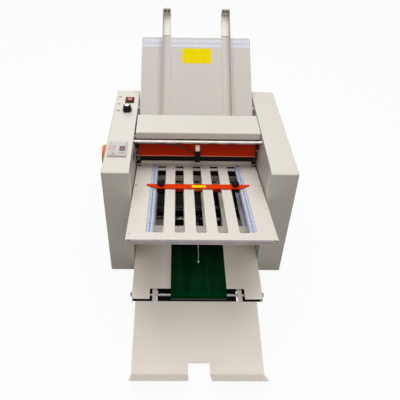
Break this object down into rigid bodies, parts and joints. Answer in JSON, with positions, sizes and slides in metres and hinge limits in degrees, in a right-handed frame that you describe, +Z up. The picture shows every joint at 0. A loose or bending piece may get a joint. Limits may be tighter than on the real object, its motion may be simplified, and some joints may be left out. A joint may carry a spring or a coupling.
{
  "type": "paper folding machine",
  "caption": "Desktop paper folding machine with a sloping feed table, slotted fold plates with sliding stops, stacked fold rollers and a belt delivery with a catch tray.",
  "frame": {"origin": "on the surface it stands on, on the mid plane between the two side covers, under the middle of its whole length from the catch tray's lip to the ends of the feed guides", "axes": "+X to the right as seen from the delivery end, +Y from the catch tray to the feed table, +Z up"},
  "size_m": [0.5367, 1.0384, 0.6032],
  "materials": {
    "cream_paint": "satin powder coat",
    "greige_paint": "satin powder coat",
    "table_paint": "smooth satin",
    "dark_frame": "matt",
    "orange_guard": "satin",
    "orange_stop": "satin",
    "zinc_steel": "zinc plated",
    "gear_steel": "machined",
    "chrome": "polished",
    "rail_aluminium": "anodised",
    "bearing_brass": "sintered",
    "black_rubber": "matt",
    "belt_green": "satin",
    "black_plastic": "fine grain",
    "white_film": "printed film",
    "red_plastic": "translucent red",
    "orange_plastic": "moulded",
    "grey_plastic": "moulded"
  },
  "bodies": {
    "machine": {"base_pan": "greige_paint", "rubber_feet": "black_rubber", "left_side_frame": "dark_frame", "right_side_frame": "dark_frame", "tie_bars": "zinc_steel", "left_side_cover": "cream_paint", "right_side_cover": "cream_paint", "panel_screws": "zinc_steel", "power_switch_body": "black_plastic", "speed_control": "black_plastic", "counter_housing": "grey_plastic", "mains_inlet": "black_plastic", "roller_bearings": "bearing_brass", "motor": "dark_frame", "drive_belts": "black_rubber", "feed_plate": "table_paint", "separator_pad": "black_rubber", "cross_bar": "chrome", "front_guard": "orange_guard", "sensor_bracket": "zinc_steel", "sensor_body": "black_plastic", "sensor_cable": "black_rubber", "upper_front_plate": "greige_paint", "lower_front_plate": "greige_paint", "upper_rear_plate": "greige_paint", "lower_rear_plate": "greige_paint", "plate_end_rails": "rail_aluminium", "scale_strips": "white_film", "delivery_plate": "greige_paint", "delivery_belt": "belt_green", "front_axle": "chrome"},
    "power_switch_rocker": {"power_switch_rocker": "red_plastic"},
    "speed_knob": {"speed_knob": "black_plastic"},
    "counter_reset_button": {"counter_reset_button": "black_plastic"},
    "hand_wheel": {"hand_wheel": "orange_plastic"},
    "hand_idler_gear": {"hand_idler_gear": "gear_steel"},
    "feed_roller": {"feed_roller": "black_rubber"},
    "feed_idler_gear": {"feed_idler_gear": "gear_steel"},
    "motor_pulley": {"motor_pulley": "gear_steel"},
    "hood": {"hood": "cream_paint"},
    "upper_front_stop": {"upper_front_stop": "orange_stop"},
    "upper_stop_knob_left": {"upper_stop_knob_left": "black_plastic"},
    "upper_stop_knob_right": {"upper_stop_knob_right": "black_plastic"},
    "lower_front_stop": {"lower_front_stop": "orange_stop"},
    "upper_rear_stop": {"upper_rear_stop": "orange_stop"},
    "lower_rear_stop": {"lower_rear_stop": "orange_stop"},
    "delivery_front_roller": {"delivery_front_roller": "black_rubber"},
    "delivery_rear_roller": {"delivery_rear_roller": "black_rubber"},
    "hold_down_rod": {"hold_down_rod": "chrome"},
    "receiving_tray": {"receiving_tray": "greige_paint"},
    "left_feed_guide": {"left_feed_guide": "table_paint"},
    "right_feed_guide": {"right_feed_guide": "table_paint"},
    "left_tail_stop": {"left_tail_stop": "table_paint"},
    "right_tail_stop": {"right_tail_stop": "table_paint"},
    "fold_roller_1": {"fold_roller_1": "black_rubber"},
    "fold_roller_2": {"fold_roller_2": "black_rubber"},
    "fold_roller_3": {"fold_roller_3": "black_rubber"},
    "fold_roller_4": {"fold_roller_4": "black_rubber"},
    "fold_roller_5": {"fold_roller_5": "black_rubber"},
    "fold_roller_6": {"fold_roller_6": "black_rubber"}
  },
  "joints": [
    {"name": "fold_roller_1_spin", "type": "hinge", "parent": "machine", "child": "fold_roller_1", "pos_m": [0, 0.1, 0.2815], "axis": [1, 0, 0], "continuous": true},
    {"name": "fold_roller_2_spin", "type": "hinge", "parent": "machine", "child": "fold_roller_2", "pos_m": [0, 0.1152, 0.253], "axis": [1, 0, 0], "continuous": true},
    {"name": "fold_roller_3_spin", "type": "hinge", "parent": "machine", "child": "fold_roller_3", "pos_m": [0, 0.1, 0.2245], "axis": [1, 0, 0], "continuous": true},
    {"name": "fold_roller_4_spin", "type": "hinge", "parent": "machine", "child": "fold_roller_4", "pos_m": [0, 0.1152, 0.196], "axis": [1, 0, 0], "continuous": true},
    {"name": "fold_roller_5_spin", "type": "hinge", "parent": "machine", "child": "fold_roller_5", "pos_m": [0, 0.1, 0.1675], "axis": [1, 0, 0], "continuous": true},
    {"name": "fold_roller_6_spin", "type": "hinge", "parent": "machine", "child": "fold_roller_6", "pos_m": [0, 0.1152, 0.139], "axis": [1, 0, 0], "continuous": true},
    {"name": "feed_roller_spin", "type": "hinge", "parent": "machine", "child": "feed_roller", "pos_m": [0, 0.128, 0.33154], "axis": [1, 0, 0], "continuous": true},
    {"name": "feed_idler_spin", "type": "hinge", "parent": "machine", "child": "feed_idler_gear", "pos_m": [0, 0.11715, 0.30476], "axis": [1, 0, 0], "continuous": true},
    {"name": "hand_idler_spin", "type": "hinge", "parent": "machine", "child": "hand_idler_gear", "pos_m": [0, 0.05641, 0.30388], "axis": [1, 0, 0], "continuous": true},
    {"name": "hand_wheel_spin", "type": "hinge", "parent": "machine", "child": "hand_wheel", "pos_m": [0, 0.017, 0.333], "axis": [1, 0, 0], "continuous": true},
    {"name": "motor_spin", "type": "hinge", "parent": "machine", "child": "motor_pulley", "pos_m": [0, 0.197, 0.089], "axis": [1, 0, 0], "continuous": true},
    {"name": "delivery_rear_roller_spin", "type": "hinge", "parent": "machine", "child": "delivery_rear_roller", "pos_m": [0, 0.06678, 0.07006], "axis": [1, 0, 0], "continuous": true},
    {"name": "delivery_front_roller_spin", "type": "hinge", "parent": "machine", "child": "delivery_front_roller", "pos_m": [0, -0.254, 0.042], "axis": [1, 0, 0], "continuous": true},
    {"name": "hood_hinge", "type": "hinge", "parent": "machine", "child": "hood", "pos_m": [0, 0.079, 0.364], "axis": [1, 0, 0], "range_deg": [0, 95]},
    {"name": "receiving_tray_hinge", "type": "hinge", "parent": "machine", "child": "receiving_tray", "pos_m": [0, -0.254, 0.042], "axis": [1, 0, 0], "range_deg": [-55, 0]},
    {"name": "hold_down_rod_swing", "type": "hinge", "parent": "machine", "child": "hold_down_rod", "pos_m": [0, -0.028, 0.133], "axis": [1, 0, 0], "range_deg": [-35, 0]},
    {"name": "power_switch_rock", "type": "hinge", "parent": "machine", "child": "power_switch_rocker", "pos_m": [-0.2145, 0.2625, 0.384], "axis": [1, 0, 0], "range_deg": [0, 18]},
    {"name": "speed_knob_turn", "type": "hinge", "parent": "machine", "child": "speed_knob", "pos_m": [-0.217, 0.193, 0.384], "axis": [0, 0, 1], "range_deg": [-150, 150]},
    {"name": "upper_stop_knob_left_turn", "type": "hinge", "parent": "upper_front_stop", "child": "upper_stop_knob_left", "pos_m": [-0.106, -0.06085, 0.28083], "axis": [0, 0.1656, 0.9862], "range_deg": [0, 360]},
    {"name": "upper_stop_knob_right_turn", "type": "hinge", "parent": "upper_front_stop", "child": "upper_stop_knob_right", "pos_m": [0.106, -0.06085, 0.28083], "axis": [0, 0.1656, 0.9862], "range_deg": [0, 360]},
    {"name": "upper_front_stop_slide", "type": "slide", "parent": "machine", "child": "upper_front_stop", "axis": [0, -0.9862, 0.1656], "range_m": [-0.106, 0.223]},
    {"name": "lower_front_stop_slide", "type": "slide", "parent": "machine", "child": "lower_front_stop", "axis": [0, -0.9862, 0.1656], "range_m": [-0.031, 0.1918]},
    {"name": "upper_rear_stop_slide", "type": "slide", "parent": "machine", "child": "upper_rear_stop", "axis": [0, 0.9862, 0.1656], "range_m": [-0.07, 0.1133]},
    {"name": "lower_rear_stop_slide", "type": "slide", "parent": "machine", "child": "lower_rear_stop", "axis": [0, 0.9862, 0.1656], "range_m": [-0.07, 0.1133]},
    {"name": "left_feed_guide_slide", "type": "slide", "parent": "machine", "child": "left_feed_guide", "axis": [1, 0, 0], "range_m": [-0.055, 0.06]},
    {"name": "right_feed_guide_slide", "type": "slide", "parent": "machine", "child": "right_feed_guide", "axis": [1, 0, 0], "range_m": [-0.06, 0.055]},
    {"name": "left_tail_stop_slide", "type": "slide", "parent": "left_feed_guide", "child": "left_tail_stop", "axis": [0, 0.8181, 0.575], "range_m": [-0.28, 0]},
    {"name": "right_tail_stop_slide", "type": "slide", "parent": "right_feed_guide", "child": "right_tail_stop", "axis": [0, 0.8181, 0.575], "range_m": [-0.28, 0]},
    {"name": "counter_reset_press", "type": "slide", "parent": "machine", "child": "counter_reset_button", "axis": [0, 0, -1], "range_m": [0, 0.001], "stiffness_N_per_m": 500, "springref_m": -0.0005}
  ],
  "couplings": [
    {"joint": "fold_roller_1_spin", "follows": "fold_roller_6_spin", "ratio": -1},
    {"joint": "fold_roller_2_spin", "follows": "fold_roller_6_spin", "ratio": 1},
    {"joint": "fold_roller_3_spin", "follows": "fold_roller_6_spin", "ratio": -1},
    {"joint": "fold_roller_4_spin", "follows": "fold_roller_6_spin", "ratio": 1},
    {"joint": "fold_roller_5_spin", "follows": "fold_roller_6_spin", "ratio": -1},
    {"joint": "feed_idler_spin", "follows": "fold_roller_6_spin", "ratio": 1.2667},
    {"joint": "feed_roller_spin", "follows": "fold_roller_6_spin", "ratio": -1},
    {"joint": "hand_idler_spin", "follows": "fold_roller_6_spin", "ratio": 0.68966},
    {"joint": "hand_wheel_spin", "follows": "fold_roller_6_spin", "ratio": -1},
    {"joint": "motor_spin", "follows": "fold_roller_6_spin", "ratio": 2},
    {"joint": "delivery_rear_roller_spin", "follows": "fold_roller_6_spin", "ratio": 1},
    {"joint": "delivery_front_roller_spin", "follows": "fold_roller_6_spin", "ratio": 1}
  ]
}
